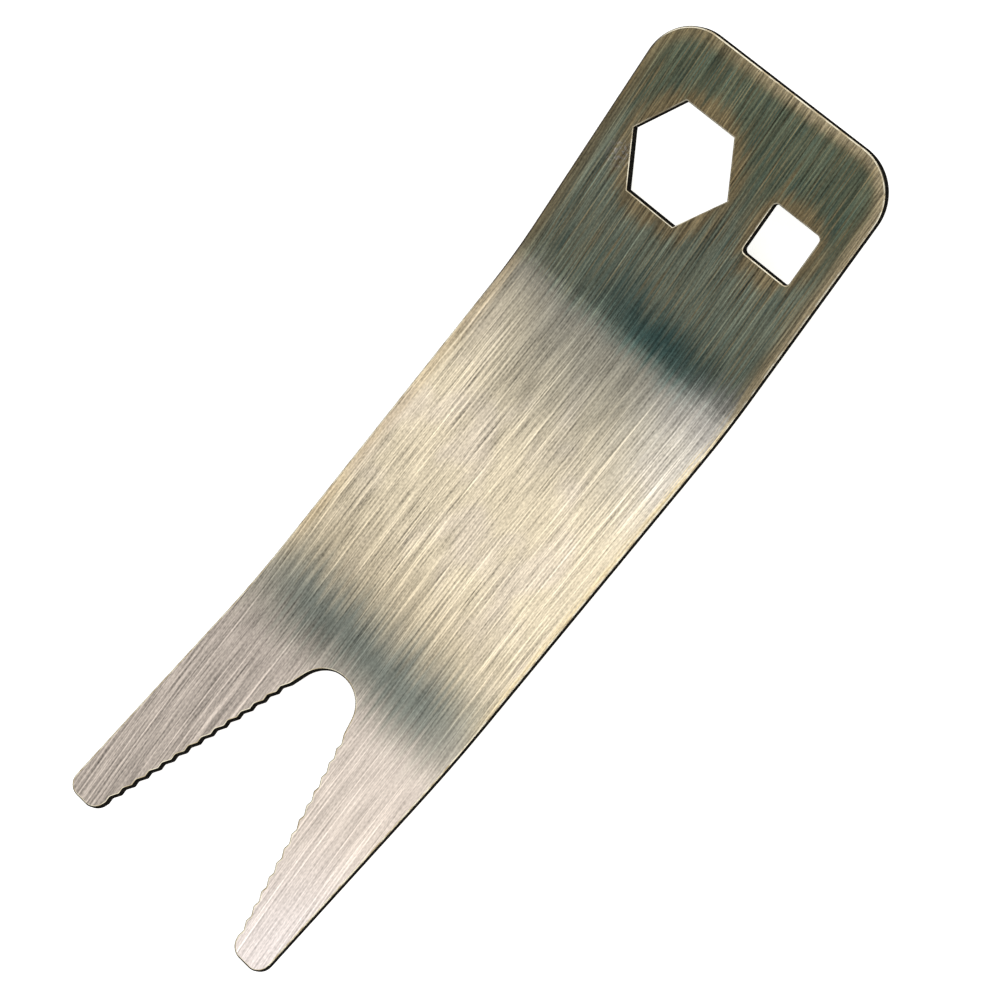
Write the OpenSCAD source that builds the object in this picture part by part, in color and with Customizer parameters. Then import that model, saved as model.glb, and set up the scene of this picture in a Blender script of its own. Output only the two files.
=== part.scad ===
// Forked hand tool, cut and bent from one strip of sheet steel.
// The strip runs along Y. The head, with its hexagonal and square wrench holes, points to +Y,
// and the fork, with its toothed notch, points to -Y. Both ends rise from a flat middle that
// rests on z = 0. The origin lies under the centre of the whole tool. Sizes are in millimetres.

/* [Strip] */
// Width of the strip, the same from the head to the prongs
strip_w = 30; // [29:0.5:36]
// Thickness of the sheet
sheet_t = 1.2; // [1:0.1:2]
// Length of the flat middle between the two bends
middle_len = 35.5; // [20:0.5:60]

/* [Bends] */
// Angle by which the head rises from the middle
head_angle = 14.5; // [8:0.5:30]
// Inside radius of the bend below the head
head_bend_r = 30.5; // [10:0.5:60]
// Angle by which the fork rises from the middle
fork_angle = 12; // [8:0.5:25]
// Inside radius of the bend behind the fork
fork_bend_r = 51.5; // [30:0.5:80]

/* [Head] */
// Length of the flat head beyond its bend
head_len = 27.4; // [24:0.2:40]
// Radius of the head's two outer corners
head_corner_r = 5.4; // [1:0.2:6]
// Distance from the end of the head back to the centres of both holes
hole_setback = 12.6; // [10:0.1:14]
// Width of the hexagonal hole across its flats
hex_flats = 11; // [8:0.5:12]
// Sideways place of the hexagonal hole's centre
hex_x = -5.3; // [-6:0.1:-5]
// Side of the square hole
square_side = 6; // [4:0.5:6.5]
// Sideways place of the square hole's centre
square_x = 8.3; // [8.2:0.1:9]
// Radius in the corners of the square hole
square_corner_r = 0.5; // [0.2:0.1:1]

/* [Fork] */
// Length of the flat prongs beyond their bend
prong_len = 24.4; // [24:0.2:30]
// Width of each prong at its tip, before its corners are rounded
prong_tip_w = 4.3; // [4:0.1:5]
// Radius of the corners of the prong tips
tip_corner_r = 1.6; // [0.8:0.1:1.7]
// Depth of the notch, from the tips to the top of its throat
notch_depth = 28.7; // [28:0.1:32]
// Radius of the round throat of the notch
throat_r = 3.7; // [3:0.1:4]

/* [Teeth] */
// Number of teeth along each flank of the notch
tooth_count = 14; // [6:1:14]
// Spacing of the teeth, measured along the tool
tooth_pitch = 1.615; // [1.4:0.005:1.615]
// Length of the steep side of a tooth, measured along the tool
tooth_step = 0.7; // [0.4:0.05:0.7]
// Depth of the gullets, measured across the tool
tooth_depth = 0.29; // [0.1:0.01:0.4]
// Distance from the tips to the first gullet
first_gullet = 2.35; // [2.2:0.05:2.6]
// Radius on the crests and in the gullets
tooth_round_r = 0.2; // [0.05:0.05:0.25]

/* [Hidden] */
half_w = strip_w / 2;
facet_len = 0.4; // longest straight piece of a round stretch
ample = 3 * (head_len + prong_len); // past every edge of the tool, for what only trims

// The flat middle runs between these places, which centre the whole tool on y = 0
head_reach = head_len * cos(head_angle) + (head_bend_r + sheet_t) * sin(head_angle);
fork_reach = prong_len * cos(fork_angle) + (fork_bend_r + sheet_t) * sin(fork_angle);
head_bend_y = (middle_len + fork_reach - head_reach) / 2;
fork_bend_y = head_bend_y - middle_len;

// The notch's flanks are straight, and its throat is a round that touches both of them
mouth_half_w = half_w - prong_tip_w;
throat_y = notch_depth - throat_r;
flank_angle = acos(throat_r / norm([mouth_half_w, throat_y])) - atan2(throat_y, mouth_half_w);
apex_y = mouth_half_w / tan(flank_angle);

function unit(v) = v / norm(v);
function reversed(list) = [for (i = [len(list) - 1 : -1 : 0]) list[i]];

// The points of a round of radius r in the corner at b, between its neighbours a and c
function round_points(a, b, c, r) =
    let (half = acos(unit(a - b) * unit(c - b)) / 2,
         centre = b + unit(unit(a - b) + unit(c - b)) * r / sin(half),
         start = b + unit(a - b) * r / tan(half) - centre,
         side = cross(b - a, c - b) > 0 ? 1 : -1,
         turn = side * (180 - 2 * half),
         steps = max(2, ceil(abs(turn) * PI / 180 * r / facet_len)))
    [for (k = [0 : steps])
        let (t = k / steps * turn)
        centre + [start.x * cos(t) - start.y * sin(t), start.x * sin(t) + start.y * cos(t)]];

// An outline from its corners, each given as [x, y, radius], with 0 for a sharp one
function rounded(corners) =
    let (n = len(corners), at = [for (c = corners) [c.x, c.y]])
    [for (i = [0 : n - 1])
        each corners[i].z == 0 ? [at[i]]
            : round_points(at[(i + n - 1) % n], at[i], at[(i + 1) % n], corners[i].z)];

// An outline that is its own mirror image, from the corners of its right half
function symmetric(half) =
    rounded(concat(half, [for (c = reversed(half)) if (c.x > 0) [-c.x, c.y, c.z]]));

// Where the straight runs of one face of the sheet would meet at a bend, lift above z = 0
function fold_y(r, angle, lift) = (r + sheet_t - lift) * tan(angle / 2);

// One face of the bent strip in side view, y across and z up, longer than the tool
function face_run(lift) =
    let (head_fold = [head_bend_y + fold_y(head_bend_r, head_angle, lift), lift],
         fork_fold = [fork_bend_y - fold_y(fork_bend_r, fork_angle, lift), lift])
    [[each fork_fold + ample * [-cos(fork_angle), sin(fork_angle)], 0],
     [each fork_fold, fork_bend_r + sheet_t - lift],
     [each head_fold, head_bend_r + sheet_t - lift],
     [each head_fold + ample * [cos(head_angle), sin(head_angle)], 0]];

// Side view of the strip with both its bends
module strip_side() {
    polygon(rounded(concat(face_run(0), reversed(face_run(sheet_t)))));
}

// A corner on the notch's right flank, y from the tips, cut back into the prong
function flank_corner(y, cut_back, r) = [mouth_half_w - y * tan(flank_angle) + cut_back, y, r];

// The teeth of the right flank from the mouth up: a crest, then the gullet behind it
function teeth() = [for (i = [0 : tooth_count - 1])
    let (gullet_y = first_gullet + i * tooth_pitch)
    each [flank_corner(gullet_y - tooth_step, 0, tooth_round_r),
          flank_corner(gullet_y, tooth_depth, tooth_round_r)]];

// Flat outline of the fork with its tips at y = 0, open-ended towards +Y
module fork_plan() {
    polygon(symmetric(concat(
        [[half_w, ample, 0], [half_w, 0, tip_corner_r], flank_corner(0, 0, tip_corner_r)],
        teeth(),
        [flank_corner(first_gullet + tooth_count * tooth_pitch - tooth_step, 0, tooth_round_r)],
        [[0, apex_y, throat_r]])));
}

// Flat outline of the head with its end at y = 0, open-ended towards +Y
module head_plan() {
    q = square_side / 2;
    difference() {
        polygon(symmetric([[half_w, ample, 0], [half_w, 0, head_corner_r]]));
        translate([-hex_x, hole_setback]) circle(hex_flats / 2 / cos(30), $fn = 6);
        translate([-square_x, hole_setback])
            polygon(symmetric([[q, q, square_corner_r], [q, -q, square_corner_r]]));
    }
}

// A flat outline as a tall block square to one end of the sheet, its y = 0 edge at that end
module trimmer(bend_y, r, angle, len) {
    translate([0, bend_y, r + sheet_t]) rotate([angle, 0, 0]) translate([0, len, -r - sheet_t])
        rotate(180) linear_extrude(ample, center = true) children();
}

module forked_plate() {
    color([0.62, 0.56, 0.46]) intersection() {
        rotate([90, 0, 90]) linear_extrude(2 * strip_w, center = true) strip_side();
        trimmer(head_bend_y, head_bend_r, head_angle, head_len) head_plan();
        rotate(180) trimmer(-fork_bend_y, fork_bend_r, fork_angle, prong_len) fork_plan();
    }
}

forked_plate();
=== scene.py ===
import math

import bmesh
import bpy
from mathutils import Matrix, Vector


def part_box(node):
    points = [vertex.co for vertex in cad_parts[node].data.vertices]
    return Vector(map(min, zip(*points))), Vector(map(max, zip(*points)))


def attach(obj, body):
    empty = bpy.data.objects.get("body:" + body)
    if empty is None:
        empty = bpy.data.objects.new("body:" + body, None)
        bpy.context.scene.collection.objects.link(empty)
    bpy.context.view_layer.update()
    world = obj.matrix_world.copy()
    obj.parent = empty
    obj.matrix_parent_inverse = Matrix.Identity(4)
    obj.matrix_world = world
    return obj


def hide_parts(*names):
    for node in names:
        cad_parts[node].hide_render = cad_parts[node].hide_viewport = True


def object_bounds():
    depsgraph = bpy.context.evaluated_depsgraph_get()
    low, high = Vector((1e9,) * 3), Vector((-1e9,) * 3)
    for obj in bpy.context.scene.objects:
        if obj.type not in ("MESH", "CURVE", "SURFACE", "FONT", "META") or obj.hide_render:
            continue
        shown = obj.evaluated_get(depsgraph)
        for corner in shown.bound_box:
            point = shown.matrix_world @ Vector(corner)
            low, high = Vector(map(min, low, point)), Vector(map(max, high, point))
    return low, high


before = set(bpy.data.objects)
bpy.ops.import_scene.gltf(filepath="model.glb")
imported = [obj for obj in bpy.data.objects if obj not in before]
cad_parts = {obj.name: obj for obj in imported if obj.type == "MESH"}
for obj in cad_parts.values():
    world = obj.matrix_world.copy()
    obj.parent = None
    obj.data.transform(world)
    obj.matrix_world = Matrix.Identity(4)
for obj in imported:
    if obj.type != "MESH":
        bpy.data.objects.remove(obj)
cad_low, cad_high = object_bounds()

MM = 0.001
SMALL = 0.001 * MM

# ---------------------------------------------------------------------------------------------
# Sizes of the plate: its sheet is cut flat and then bent
# ---------------------------------------------------------------------------------------------

plate_low, plate_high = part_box("forked_plate")
half_w = (plate_high.x - plate_low.x) / 2
sheet_t = 1.2 * MM
middle_len = 35.5 * MM

head_angle = math.radians(14.5)
head_bend_r = 30.5 * MM
head_len = 27.4 * MM
head_corner_r = 5.4 * MM
hole_setback = 12.6 * MM
hex_flats = 11 * MM
hex_x = -5.3 * MM
square_side = 6 * MM
square_x = 8.3 * MM
square_corner_r = 0.5 * MM

fork_angle = math.radians(12)
fork_bend_r = 51.5 * MM
prong_len = 24.4 * MM
prong_tip_w = 4.3 * MM
tip_corner_r = 1.6 * MM
notch_depth = 28.7 * MM
throat_r = 3.7 * MM
tooth_count = 14
tooth_pitch = 1.615 * MM
tooth_step = 0.7 * MM
tooth_depth = 0.29 * MM
tooth_rounding = 0.1 * MM
first_gullet = 2.35 * MM

overcut = 2 * MM
cutter_height = 3 * sheet_t

# Steps in each round and each bend
head_corner_steps = 24
tip_corner_steps = 10
square_corner_steps = 6
throat_steps = 28
tooth_steps = 3
edge_steps = 4
bend_steps = 24

# Radii of the rounded edges, and the tilt from the sheet's faces up to which they are bare
outline_edge_r = 0.2 * MM
hole_edge_r = 0.16 * MM
rubbed_tilt = math.radians(48)
# On the fork, roundings that face right turn dark from a smaller tilt, as painted shade
fork_right_shade_tilt = math.radians(30)

# Faces that meet at less than this angle are shaded as one
smooth_angle = math.radians(40)

# The flat middle lies between the two bends, and the flat blank reaches from tips_y to end_y
middle_z = sheet_t / 2
head_arc = (head_bend_r + middle_z) * head_angle
fork_arc = (fork_bend_r + middle_z) * fork_angle
head_reach = head_len * math.cos(head_angle) + (head_bend_r + sheet_t) * math.sin(head_angle)
fork_reach = prong_len * math.cos(fork_angle) + (fork_bend_r + sheet_t) * math.sin(fork_angle)
head_bend_y = (middle_len + fork_reach - head_reach) / 2
fork_bend_y = head_bend_y - middle_len
end_y = head_bend_y + head_arc + head_len
tips_y = fork_bend_y - fork_arc - prong_len
holes_y = end_y - hole_setback
face_end_y = cad_high.y - sheet_t * math.sin(head_angle)

# The notch's flanks are straight and run tangent into its round throat
mouth_half_w = half_w - prong_tip_w
throat_y = notch_depth - throat_r
flank_angle = (math.acos(throat_r / math.hypot(mouth_half_w, throat_y))
               - math.atan2(throat_y, mouth_half_w))

# ---------------------------------------------------------------------------------------------
# Bench tools
# ---------------------------------------------------------------------------------------------


def take(piece):
    """Makes one piece the only selected and active one."""
    bpy.ops.object.select_all(action="DESELECT")
    piece.select_set(True)
    bpy.context.view_layer.objects.active = piece


def new_piece(name):
    """Names the primitive that was just added and puts its place into its mesh."""
    piece = bpy.context.object
    piece.name = name
    piece.data.name = name
    take(piece)
    bpy.ops.object.transform_apply(location=True, rotation=True, scale=True)
    return piece


def edit(piece):
    take(piece)
    bpy.ops.object.mode_set(mode="EDIT")


def leave_edit():
    bpy.ops.object.mode_set(mode="OBJECT")


def pick(piece, kind, test):
    """Selects, in edit mode, the vertices, edges or faces that pass a test."""
    bpy.ops.mesh.select_mode(type=kind)
    bpy.ops.mesh.select_all(action="DESELECT")
    mesh = bmesh.from_edit_mesh(piece.data)
    for element in {"VERT": mesh.verts, "EDGE": mesh.edges, "FACE": mesh.faces}[kind]:
        if test(element):
            element.select_set(True)
    mesh.select_flush_mode()
    bmesh.update_edit_mesh(piece.data)


def near(value, target):
    return abs(value - target) < 10 * SMALL


def is_upright(edge):
    a, b = edge.verts
    return (a.co - b.co).xy.length < SMALL and abs(a.co.z - b.co.z) > SMALL


def is_wall(face):
    return abs(face.normal.z) < 0.5


def bevel_upright(piece, test, offset, segments):
    """Rounds the upright edges whose place passes a test."""
    pick(piece, "EDGE", lambda e: is_upright(e) and test(e.verts[0].co))
    bpy.ops.mesh.bevel(offset=offset, segments=segments, affect="EDGES", clamp_overlap=False)


def apply_modifier(piece, kind, **settings):
    take(piece)
    modifier = piece.modifiers.new(kind.lower(), kind)
    for name, value in settings.items():
        setattr(modifier, name, value)
    bpy.ops.object.modifier_apply(modifier=modifier.name)


def cut_out(piece, cutter):
    """Takes the cutter's volume out of the piece and removes the cutter."""
    apply_modifier(piece, "BOOLEAN", operation="DIFFERENCE", solver="EXACT", object=cutter)
    bpy.data.objects.remove(cutter)


def add_block(name, low, high):
    bpy.ops.mesh.primitive_cube_add(size=1, location=(low + high) / 2, scale=high - low)
    return new_piece(name)


# ---------------------------------------------------------------------------------------------
# The plate
# ---------------------------------------------------------------------------------------------

FINISHES = ("brushed_face", "rubbed_edge", "cut_wall")
RUBBED_EDGE = FINISHES.index("rubbed_edge")
CUT_WALL = FINISHES.index("cut_wall")


def flat_blank():
    """The strip before it is bent, with the head's corners and the tips' outer corners round."""
    blank = add_block("forked_plate_brushed", Vector((-half_w, tips_y, 0)),
                      Vector((half_w, end_y, sheet_t)))
    edit(blank)
    bevel_upright(blank, lambda p: near(p.y, end_y), head_corner_r, head_corner_steps)
    bevel_upright(blank, lambda p: near(p.y, tips_y), tip_corner_r, tip_corner_steps)
    leave_edit()
    return blank


def flank(reach, cut_back=0):
    """A point on the notch's flank, as (x, distance from the tips)."""
    return mouth_half_w - reach * math.tan(flank_angle) + cut_back, reach


def flank_corners():
    """The corners of the toothed flank, from the first tooth up to the round throat."""
    corners = []
    for tooth in range(tooth_count):
        gullet = first_gullet + tooth * tooth_pitch
        corners.append(flank(gullet - tooth_step))
        corners.append(flank(gullet, tooth_depth))
    corners.append(flank(first_gullet + tooth_count * tooth_pitch - tooth_step))
    corners.append((throat_r * math.cos(flank_angle),
                    throat_y + throat_r * math.sin(flank_angle)))
    return corners


def notch_cutter():
    """Half of the notch is drawn edge by edge up its toothed flank and spun round the throat,
    then mirrored and raised to a block."""
    x, reach = flank(-overcut)
    bpy.ops.mesh.primitive_plane_add(
        size=x, location=(x / 2, tips_y + reach - x / 2, -sheet_t))
    cutter = new_piece("notch_cutter")
    edit(cutter)
    corners = flank_corners()
    for next_x, next_reach in corners:
        pick(cutter, "EDGE", lambda e: all(near(v.co.y, tips_y + reach) for v in e.verts))
        bpy.ops.mesh.extrude_region_move(
            TRANSFORM_OT_translate={"value": (0, next_reach - reach, 0)})
        pick(cutter, "VERT", lambda v: near(v.co.y, tips_y + next_reach) and v.co.x > SMALL)
        bpy.ops.transform.translate(value=(next_x - x, 0, 0))
        x, reach = next_x, next_reach
    pick(cutter, "VERT", lambda v: near(v.co.y, tips_y + reach) and v.co.x < SMALL)
    bpy.ops.transform.translate(value=(0, throat_y - reach, 0))
    pick(cutter, "EDGE", lambda e: all(v.co.y > tips_y + throat_y - SMALL for v in e.verts))
    bpy.ops.mesh.spin(steps=throat_steps, angle=flank_angle - math.pi / 2,
                      center=(0, tips_y + throat_y, 0), axis=(0, 0, 1))
    leave_edit()
    apply_modifier(cutter, "MIRROR", merge_threshold=SMALL)
    edit(cutter)
    bpy.ops.mesh.select_all(action="SELECT")
    bpy.ops.mesh.remove_doubles(threshold=SMALL)
    bpy.ops.mesh.dissolve_limited(angle_limit=math.radians(1))
    bpy.ops.mesh.extrude_region_move(TRANSFORM_OT_translate={"value": (0, 0, cutter_height)})
    bpy.ops.mesh.select_all(action="SELECT")
    bpy.ops.mesh.normals_make_consistent(inside=False)
    first_crest, last_crest = corners[0][1], corners[-2][1]
    bevel_upright(
        cutter, lambda p: first_crest - SMALL < p.y - tips_y < last_crest + SMALL,
        tooth_rounding, tooth_steps)
    leave_edit()
    return cutter


def hex_cutter():
    bpy.ops.mesh.primitive_cylinder_add(
        vertices=6, radius=hex_flats / 2 / math.cos(math.pi / 6), depth=cutter_height,
        location=(hex_x, holes_y, middle_z), rotation=(0, 0, math.pi / 2))
    return new_piece("hex_cutter")


def square_cutter():
    half = Vector((square_side, square_side, cutter_height)) / 2
    centre = Vector((square_x, holes_y, middle_z))
    cutter = add_block("square_cutter", centre - half, centre + half)
    edit(cutter)
    bevel_upright(cutter, lambda p: True, square_corner_r, square_corner_steps)
    leave_edit()
    return cutter


def round_mouth(plate):
    """Rounds the inner corners of the two tips, where the flanks meet the tips' ends."""
    corner = math.pi / 2 + flank_angle
    edit(plate)
    bevel_upright(plate, lambda p: near(p.y, tips_y) and near(abs(p.x), mouth_half_w),
                  tip_corner_r / math.tan(corner / 2), tip_corner_steps)
    leave_edit()


def is_hole_rim(edge):
    place = (edge.verts[0].co + edge.verts[1].co) / 2
    return abs(place.y - holes_y) < hex_flats / 2 + SMALL and abs(place.x) < half_w - MM


def is_dark(face):
    """Tells the faces that stay dark: the walls and the steep part of each rounding, which
    starts earlier where the fork's edges face right, as painted shade there."""
    place = face.calc_center_median()
    fork_right = place.y < fork_bend_y and face.normal.x > 0
    return abs(face.normal.z) < math.cos(fork_right_shade_tilt if fork_right else rubbed_tilt)


def break_edges(plate):
    """Rounds the edges between the sheet's faces and its walls. The part of a rounding next to
    a face is rubbed bright, and the rest stays as dark as the wall."""
    edit(plate)
    mesh = bmesh.from_edit_mesh(plate.data)
    weight = mesh.edges.layers.float.new("bevel_weight_edge")
    for edge in mesh.edges:
        if sum(is_wall(face) for face in edge.link_faces) == 1:
            edge[weight] = hole_edge_r / outline_edge_r if is_hole_rim(edge) else 1
    bmesh.update_edit_mesh(plate.data)
    leave_edit()
    apply_modifier(plate, "BEVEL", limit_method="WEIGHT", width=outline_edge_r,
                   segments=edge_steps, use_clamp_overlap=False, material=RUBBED_EDGE)
    edit(plate)
    pick(plate, "FACE", is_dark)
    plate.active_material_index = CUT_WALL
    bpy.ops.object.material_slot_assign()
    leave_edit()


def bend_end(plate, start_y, arc, angle, towards):
    """Bends the end beyond start_y up, in small equal steps round the middle of the sheet."""
    stations = [start_y + towards * (step + 0.5) * arc / bend_steps for step in range(bend_steps)]
    edit(plate)
    for y in stations:
        bpy.ops.mesh.select_all(action="SELECT")
        bpy.ops.mesh.bisect(plane_co=(0, y, 0), plane_no=(0, 1, 0))
    for y in reversed(stations):
        pick(plate, "VERT", lambda v: (v.co.y - y) * towards > SMALL)
        bpy.ops.transform.rotate(value=-towards * angle / bend_steps, orient_axis="X",
                                 center_override=(0, y, middle_z))
    leave_edit()


def smooth_faces(plate):
    edit(plate)
    bpy.ops.mesh.select_all(action="SELECT")
    bpy.ops.mesh.remove_doubles(threshold=SMALL / 2)
    bpy.ops.mesh.normals_make_consistent(inside=False)
    leave_edit()
    bpy.ops.object.shade_smooth_by_angle(angle=smooth_angle)
    apply_modifier(plate, "WEIGHTED_NORMAL", keep_sharp=True, weight=100, thresh=0)


def make_forked_plate():
    plate = flat_blank()
    for name in FINISHES:
        plate.data.materials.append(bpy.data.materials.new(name))
    cut_out(plate, notch_cutter())
    cut_out(plate, hex_cutter())
    cut_out(plate, square_cutter())
    round_mouth(plate)
    break_edges(plate)
    bend_end(plate, head_bend_y, head_arc, head_angle, 1)
    bend_end(plate, fork_bend_y, fork_arc, fork_angle, -1)
    smooth_faces(plate)
    return plate


# ---------------------------------------------------------------------------------------------
# Shader tools
# ---------------------------------------------------------------------------------------------


class Signal:
    """A socket that can be used in arithmetic; each operation adds its Math node."""

    def __init__(self, finish, socket):
        self.finish = finish
        self.socket = socket

    def maths(self, operation, *values):
        return self.finish.node("ShaderNodeMath", {"operation": operation},
                                dict(enumerate(values)))

    def __add__(self, other):
        return self.maths("ADD", self, other)

    def __sub__(self, other):
        return self.maths("SUBTRACT", self, other)

    def __rsub__(self, other):
        return self.maths("SUBTRACT", other, self)

    def __mul__(self, other):
        return self.maths("MULTIPLY", self, other)

    def __truediv__(self, other):
        return self.maths("DIVIDE", self, other)

    def __abs__(self):
        return self.maths("ABSOLUTE", self)

    __radd__ = __add__
    __rmul__ = __mul__


class Finish:
    """The node tree of one material."""

    def __init__(self, name):
        material = bpy.data.materials[name]
        material.use_nodes = True
        self.tree = material.node_tree
        self.tree.nodes.clear()

    def node(self, kind, settings, sockets, output=0):
        """Adds a node: its settings first, then its sockets' values or links."""
        node = self.tree.nodes.new(kind)
        for name, value in settings.items():
            setattr(node, name, value)
        for name, value in sockets.items():
            if isinstance(value, Signal):
                self.tree.links.new(value.socket, node.inputs[name])
            else:
                node.inputs[name].default_value = value
        return Signal(self, node.outputs[output]) if len(node.outputs) else None

    def place(self):
        """The place on the piece in millimetres, as three signals."""
        place = self.node("ShaderNodeTexCoord", {}, {}, "Object")
        scaled = self.node("ShaderNodeVectorMath", {"operation": "SCALE"},
                           {0: place, "Scale": 1 / MM})
        return [self.node("ShaderNodeSeparateXYZ", {}, {0: scaled}, axis) for axis in range(3)]

    def join(self, x, y, z):
        return self.node("ShaderNodeCombineXYZ", {}, {0: x, 1: y, 2: z})

    def rise(self, value, low, high):
        """Goes smoothly from 0 at low to 1 at high; low may be the larger one."""
        return self.node("ShaderNodeMapRange", {"interpolation_type": "SMOOTHSTEP"},
                         {"Value": value, "From Min": low, "From Max": high})

    def band(self, value, centre, reach):
        """1 at the centre, falling smoothly to 0 at the reach on either side."""
        return 1 - self.rise(abs(value - centre), 0, reach)

    def noise(self, x, y, z, detail=2):
        """Cloudy noise round 0.5, with one feature per unit."""
        return self.node("ShaderNodeTexNoise", {},
                         {"Vector": self.join(x, y, z), "Scale": 1, "Detail": detail,
                          "Roughness": 0.5})

    def mix(self, factor, a, b, blend="MIX"):
        """Mixes two colours; a tuple is a linear colour."""
        full = [(*c, 1) if isinstance(c, tuple) else c for c in (a, b)]
        return self.node("ShaderNodeMix", {"data_type": "RGBA", "blend_type": blend},
                         {0: factor, 6: full[0], 7: full[1]}, 2)

    def surface(self, colour, roughness, height, relief, constants):
        """Ends the tree in a shader whose bump stands as high as the relief."""
        bump = self.node("ShaderNodeBump", {}, {"Distance": relief, "Height": height})
        shader = self.node("ShaderNodeBsdfPrincipled", {},
                           {"Base Color": colour, "Roughness": roughness, "Normal": bump,
                            **constants})
        self.node("ShaderNodeOutputMaterial", {}, {"Surface": shader})


METAL = {"Metallic": 1}

# ---------------------------------------------------------------------------------------------
# Finishes
# ---------------------------------------------------------------------------------------------

# Linear colours of the brushed face
WARM = (0.59, 0.51, 0.37)
BLUSH = (0.56, 0.485, 0.41)
TAN = (0.42, 0.355, 0.25)
UMBER = (0.20, 0.19, 0.155)
DRAB = (0.34, 0.30, 0.225)
LILAC = (0.49, 0.46, 0.405)
DIM_LILAC = (0.34, 0.32, 0.29)
FORK_GREY = (0.53, 0.46, 0.40)
TIP_GREY = (0.60, 0.54, 0.51)
OLIVE = (0.31, 0.345, 0.255)
MOSS = (0.175, 0.205, 0.135)
SLATE = (0.11, 0.13, 0.115)
TEAL = (0.06, 0.135, 0.13)
AMBER = (0.42, 0.30, 0.15)
OCHRE = (0.62, 0.51, 0.32)

# Linear colours of the rubbed edge and the cut wall
WORN_RIM = (0.5, 0.41, 0.26)
BRIGHT_RIM = (0.85, 0.78, 0.6)
# Painted shade for the rim along the head's left side
SHADED_RIM = (0.05, 0.04, 0.025)
SOOT = (0.003, 0.003, 0.003)
SCORCH = (0.02, 0.018, 0.015)

# The brushing: its lines' width in millimetres, and how fast they curve aside over the fork
line_w = 0.18
brush_lean = 0.0014

# Places on the finished plate and reaches of its marks, in millimetres
# The dark bands across the two bends are partly patina and partly painted shade, for the dark
# that the bent sheet reflects
fork_stain_and_shade_y = -20.7
fork_stain_and_shade_reach = 7.8
head_stain_and_shade_x = 3.5
head_stain_and_shade_y = 24.5
head_stain_and_shade_reach_x = 15
head_stain_and_shade_reach_y = 4.5
dim_band_y = 20.2
dim_band_reach = 3.6
scuff_x = -11.4
scuff_y = 36.9
scuff_reach = 2
speck_w = 0.4
wear_reach = 2
hole_wear_reach = 2.4

# How strongly the stains with their painted shade, and the marks of wear, cover what lies under
# them
STAIN_AND_SHADE_COVER = 0.9
SCUFF_COVER = 0.8
HOLE_WEAR_COVER = 0.7
EDGE_WEAR_COVER = 0.6

brush_relief = 0.02 * MM
nick_relief = 0.01 * MM
cut_relief = 0.03 * MM


def distance(x, y):
    """How far a place is from the corner where x and y are both 0."""
    return x.maths("SQRT", x * x + y * y)


def inside_outline(x, y):
    """How far in from the sides and the rounded head end a place lies."""
    past_x = x.maths("MAXIMUM", abs(x) - (half_w - head_corner_r) / MM, 0)
    past_y = y.maths("MAXIMUM", y - (face_end_y - head_corner_r) / MM, 0)
    return head_corner_r / MM - distance(past_x, past_y)


def outside_holes(x, y):
    """How far a place lies from the rounds that just fit inside the two holes."""
    from_row = y - (face_end_y - hole_setback * math.cos(head_angle)) / MM
    from_hex = distance(x - hex_x / MM, from_row) - hex_flats / 2 / MM
    from_square = distance(x - square_x / MM, from_row) - square_side / 2 / MM
    return x.maths("MINIMUM", from_hex, from_square)


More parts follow.
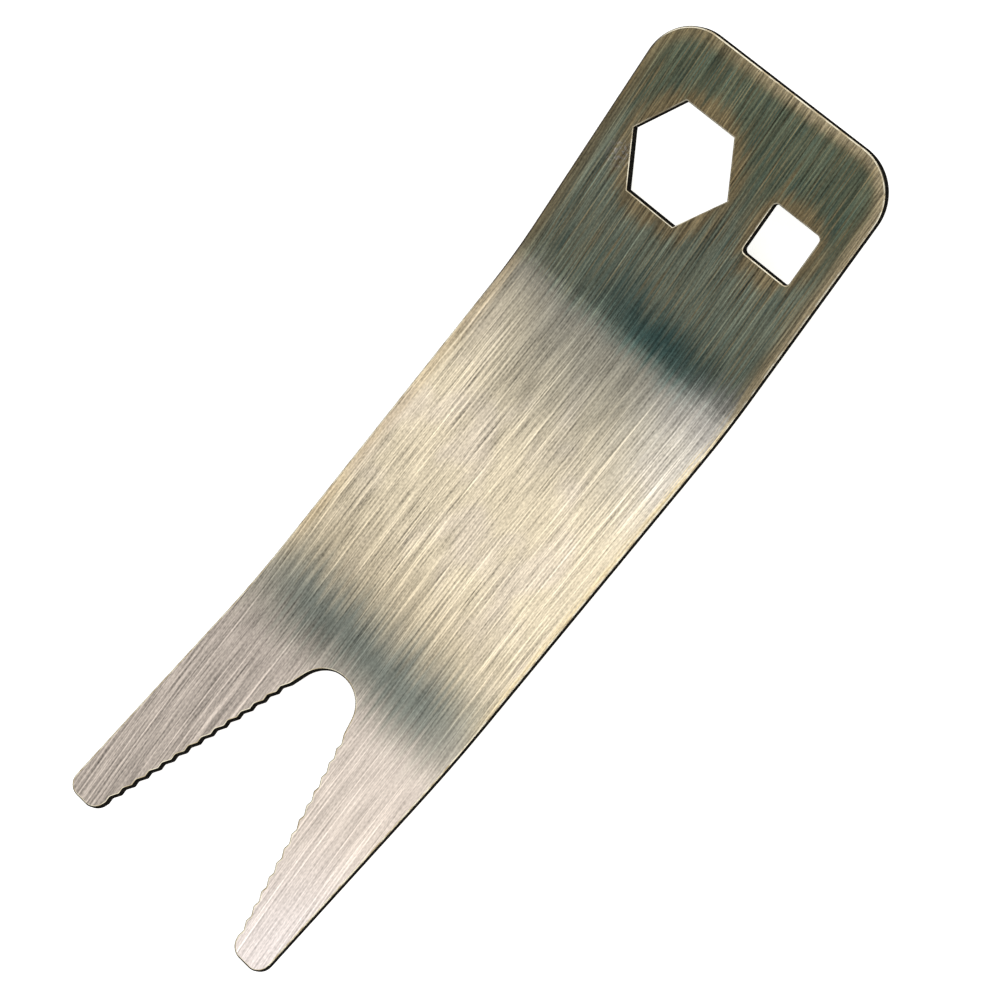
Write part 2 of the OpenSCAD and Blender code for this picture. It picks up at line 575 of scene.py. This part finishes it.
class BrushedFace(Finish):
    """The broad faces: brushed along the plate, stained and painted with dark shade across both
    bends, and worn by hands.
    """

    def __init__(self):
        super().__init__("brushed_face")
        self.x, self.y = self.place()[:2]
        behind = self.y.maths("MINIMUM", self.y, 0)
        self.across = self.x - behind * behind * brush_lean
        self.strand = self.lines(0.5, 22, 7, 1)
        self.dye = self.lines(0.15, 8, 11, 1)
        self.cloud = self.noise(self.x / 6, self.y / 9, 0)
        # The borders between the colours run ragged, a few millimetres to and fro
        self.ragged_y = self.y + (self.strand - 0.5) * 5 + (self.cloud - 0.5) * 3
        self.right = self.rise(self.x, 3, 14)
        self.fork_share = self.rise(self.ragged_y, -16, -28)
        self.head_share = self.rise(self.ragged_y - self.right * 2.5, 21, 25)

    def lines(self, width, length, layer, detail=0):
        """Noise drawn out along the brushing, which leans a little towards +X over the fork."""
        return self.noise(self.across / width, self.y / length, layer, detail)

    def middle_colour(self):
        colour = self.mix(self.rise(self.cloud, 0.45, 0.65) * 0.45, WARM, BLUSH)
        # Partly patina and partly painted shade: the middle darkens to tan towards the fork's
        # bend, less so on the right
        near_fork = self.rise(self.ragged_y, -5, -15) * (0.8 - self.right * 0.4)
        return self.mix(near_fork, colour, TAN)

    def near_head_colour(self):
        """The shade that gathers in front of the head's bend, lighter towards both sides."""
        dim_band = self.band(self.ragged_y, dim_band_y, dim_band_reach)
        near_right = self.mix(dim_band, LILAC, DIM_LILAC)
        colour = self.mix(self.right, UMBER, near_right)
        left_side = self.rise(self.x, -5, -13) * self.rise(self.ragged_y, 23, 15)
        return self.mix(left_side, colour, DRAB)

    def fork_colour(self):
        return self.mix(self.rise(self.y, -34, -50) * self.right, FORK_GREY, TIP_GREY)

    def head_colour(self):
        # The head's olive, deepening to moss towards its end, is partly patina and partly painted
        # shade for the dark that the head reflects
        colour = self.mix(self.rise(self.ragged_y, 35, 46), OLIVE, MOSS)
        colour = self.mix(self.rise(self.dye, 0.5, 0.75) * 0.7, colour, AMBER)
        return self.mix(self.rise(self.dye, 0.5, 0.25) * 0.6, colour, TEAL)

    def patina(self):
        """The colours from the fork to the head, with a band across each bend that is partly
        stain and partly painted shade.
        """
        colour = self.mix(self.fork_share, self.middle_colour(), self.fork_colour())
        colour = self.mix(self.rise(self.ragged_y, 1, 23), colour, self.near_head_colour())
        colour = self.mix(self.head_share, colour, self.head_colour())
        # Painted shade, partly patina: dark bands across both bends, where the turning sheet
        # reflects something dark
        fork_stain_and_shade = (self.band(self.ragged_y, fork_stain_and_shade_y, fork_stain_and_shade_reach)
                      * self.rise(abs(self.x), 23, 8))
        colour = self.mix(fork_stain_and_shade * STAIN_AND_SHADE_COVER, colour, SLATE)
        head_stain_and_shade = (self.band(self.ragged_y, head_stain_and_shade_y, head_stain_and_shade_reach_y)
                      * self.band(self.x, head_stain_and_shade_x, head_stain_and_shade_reach_x))
        return self.mix(head_stain_and_shade * STAIN_AND_SHADE_COVER, colour, TEAL)

    def with_wear_and_rim_highlight(self, colour):
        """Adds the warm wear along the outline and round the holes, and a painted highlight along
        the rim, strongest towards the right.
        """
        to_edge = inside_outline(self.x, self.y) + (self.dye - 0.5) * 2
        to_hole = (outside_holes(self.x, self.y) + (self.dye - 0.5) * 3
                   + (self.strand - 0.5) * 4)
        off_fork = self.rise(self.y, -22, -12)
        left_side = self.rise(self.x, 0, -10) * off_fork
        handled = self.x.maths("MAXIMUM", left_side * 0.6, self.head_share)
        edge_wear = self.rise(to_edge, wear_reach, 0.2) * handled * EDGE_WEAR_COVER
        colour = self.mix(edge_wear, colour, AMBER)
        hole_wear = self.rise(to_hole, hole_wear_reach, 0.6) * self.head_share * HOLE_WEAR_COVER
        colour = self.mix(hole_wear, colour, AMBER)
        # Painted highlight: an ochre glow just inside the outline, fading out towards the left
        rim_reach = 0.9 + self.head_share * 0.6
        right_rim_highlight = self.rise(to_edge, rim_reach, 0.1) * self.rise(self.x, -14, 6)
        return self.mix(right_rim_highlight * off_fork, colour, OCHRE)

    def with_scuff(self, colour):
        """Adds the small patch of pale specks on the head, beside the hexagonal hole."""
        specks = self.rise(self.noise(self.x / speck_w, self.y / speck_w, 1), 0.45, 0.6)
        from_scuff = distance(self.x - scuff_x, self.y - scuff_y)
        scuff = specks * self.rise(from_scuff, scuff_reach, 0.5)
        return self.mix(scuff * SCUFF_COVER, colour, LILAC)

    def apply(self):
        """Lays the grain of the brushing over the colours, with painted sheen that lightens the
        face towards the right, and a lightening towards both sides of the middle.
        """
        long_hair = self.lines(line_w, 14, 0)
        hair = self.lines(line_w, 3.5, 5)
        scratch = self.lines(line_w, 24, 3)
        grit = self.lines(0.16, 0.35, 2)
        grain = (long_hair - 0.5) * 1.05 + (hair - 0.5) * 0.85 + (grit - 0.5) * 0.7
        glint = self.rise(scratch, 0.63, 0.73) * 0.5 - self.rise(scratch, 0.36, 0.27) * 0.2
        depth = 1 - self.head_share * 0.05 - self.fork_share * 0.3

        # Painted sheen: the tone rises towards the right, where the light falls, and is lowered
        # over the fork
        lift = 0.15 + self.fork_share * 0.3 - self.head_share * 0.12
        painted_sheen = self.rise(self.x, -14, 14) * lift - self.fork_share * 0.25
        middle_share = 1 - self.head_share - self.fork_share
        sides = self.rise(abs(self.x), 4, 13) * middle_share * 0.08
        tone = 0.9 + painted_sheen + sides + (grain + glint) * depth + (self.strand - 0.5) * 0.35

        colour = self.with_scuff(self.with_wear_and_rim_highlight(self.patina()))
        colour = self.mix(1, colour, self.join(tone, tone, tone), "MULTIPLY")
        roughness = 0.2 + (long_hair - 0.5) * 0.2
        self.surface(colour, roughness, long_hair + hair * 0.7, brush_relief, METAL)


def finish_rubbed_edge():
    """The bare rim is bright where it is worn, and painted dark as shade along the left of the
    head.
    """
    edge = Finish("rubbed_edge")
    x, y, z = edge.place()
    nick = edge.noise(x / 0.3, y / 0.3, z / 0.3)
    wear = edge.noise(x / 1.5, y / 1.5, z)
    # Painted shade: the rim along the head's left side is darkened, as it faces away from the
    # light
    shaded_left_rim = edge.rise(x, -14, -15) * edge.rise(y, 12, 21)
    bare = edge.mix(edge.rise(wear, 0.35, 0.6), WORN_RIM, BRIGHT_RIM)
    colour = edge.mix(shaded_left_rim, bare, SHADED_RIM)
    edge.surface(colour, 0.25, nick, nick_relief, METAL)


def finish_cut_wall():
    """The wall left by the cutting: matt and nearly black, with fine upright marks."""
    wall = Finish("cut_wall")
    x, y, z = wall.place()
    striation = wall.noise(x / 0.12, y / 0.12, z / 2)
    soot = wall.mix(wall.rise(striation, 0.3, 0.7), SOOT, SCORCH)
    wall.surface(soot, 0.6, striation, cut_relief, {"Specular IOR Level": 0})


# ---------------------------------------------------------------------------------------------
# Studio
# ---------------------------------------------------------------------------------------------

camera_place = Vector((70.2404, 34.5386, 230.5422)) * MM
camera_aim = Vector((0.9532, 1.2470, 1.2)) * MM
camera_roll = math.radians(75.497)
lens_mm = 83.037
sensor_mm = 36
clip_start = 0.01

room_brightness = 0.35
floor_side = 6
floor_gap = 0.05 * MM


def place_camera():
    data = bpy.data.cameras.new("camera")
    data.lens = lens_mm
    data.sensor_width = sensor_mm
    data.clip_start = clip_start
    camera = bpy.data.objects.new("camera", data)
    bpy.context.scene.collection.objects.link(camera)
    forward = camera_aim - camera_place
    turn = forward.to_track_quat("-Z", "Y").to_matrix() @ Matrix.Rotation(-camera_roll, 3, "Z")
    camera.matrix_world = Matrix.Translation(camera_place) @ turn.to_4x4()
    bpy.context.scene.camera = camera


def add_softbox(name, toward, distance, size, radiance):
    """A rectangular light that faces the plate and looks as bright as its radiance says."""
    data = bpy.data.lights.new(name, "AREA")
    data.shape = "RECTANGLE"
    data.size, data.size_y = size
    data.energy = radiance * math.pi * size[0] * size[1]
    light = bpy.data.objects.new(name, data)
    bpy.context.scene.collection.objects.link(light)
    back = Vector(toward).normalized()
    side = Vector((0, 1, 0)).cross(back).normalized()
    turn = Matrix((side, back.cross(side), back)).transposed()
    light.matrix_world = Matrix.Translation(back * distance) @ turn.to_4x4()
    light.visible_camera = False


def light_studio():
    world = bpy.data.worlds.new("studio")
    world.use_nodes = True
    background = world.node_tree.nodes["Background"]
    background.inputs["Color"].default_value = (1, 1, 1, 1)
    background.inputs["Strength"].default_value = room_brightness
    bpy.context.scene.world = world
    add_softbox("key_softbox", toward=(-0.3, 0.01, 1), distance=1.0, size=(1.4, 0.66),
                radiance=1.0)
    add_softbox("side_softbox", toward=(1, -0.05, 0.9), distance=1.2, size=(0.5, 0.9),
                radiance=1.6)
    add_softbox("end_softbox", toward=(-0.25, 0.8, 0.65), distance=1.2, size=(0.9, 0.5),
                radiance=1.6)
    bpy.context.scene.view_settings.view_transform = "Standard"


def lay_floor():
    bpy.ops.mesh.primitive_plane_add(size=floor_side, location=(0, 0, -floor_gap))
    floor = new_piece("pale_floor")
    material = bpy.data.materials.new("pale_floor")
    floor.data.materials.append(material)
    surface = Finish("pale_floor")
    shader = surface.node("ShaderNodeBsdfPrincipled", {},
                          {"Base Color": (0.9, 0.9, 0.9, 1), "Roughness": 0.9,
                           "Emission Color": (1, 1, 1, 1), "Emission Strength": 0.7})
    surface.node("ShaderNodeOutputMaterial", {}, {"Surface": shader})


place_camera()
light_studio()
lay_floor()
plate = make_forked_plate()
BrushedFace().apply()
finish_rubbed_edge()
finish_cut_wall()
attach(plate, "root")
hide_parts("forked_plate")
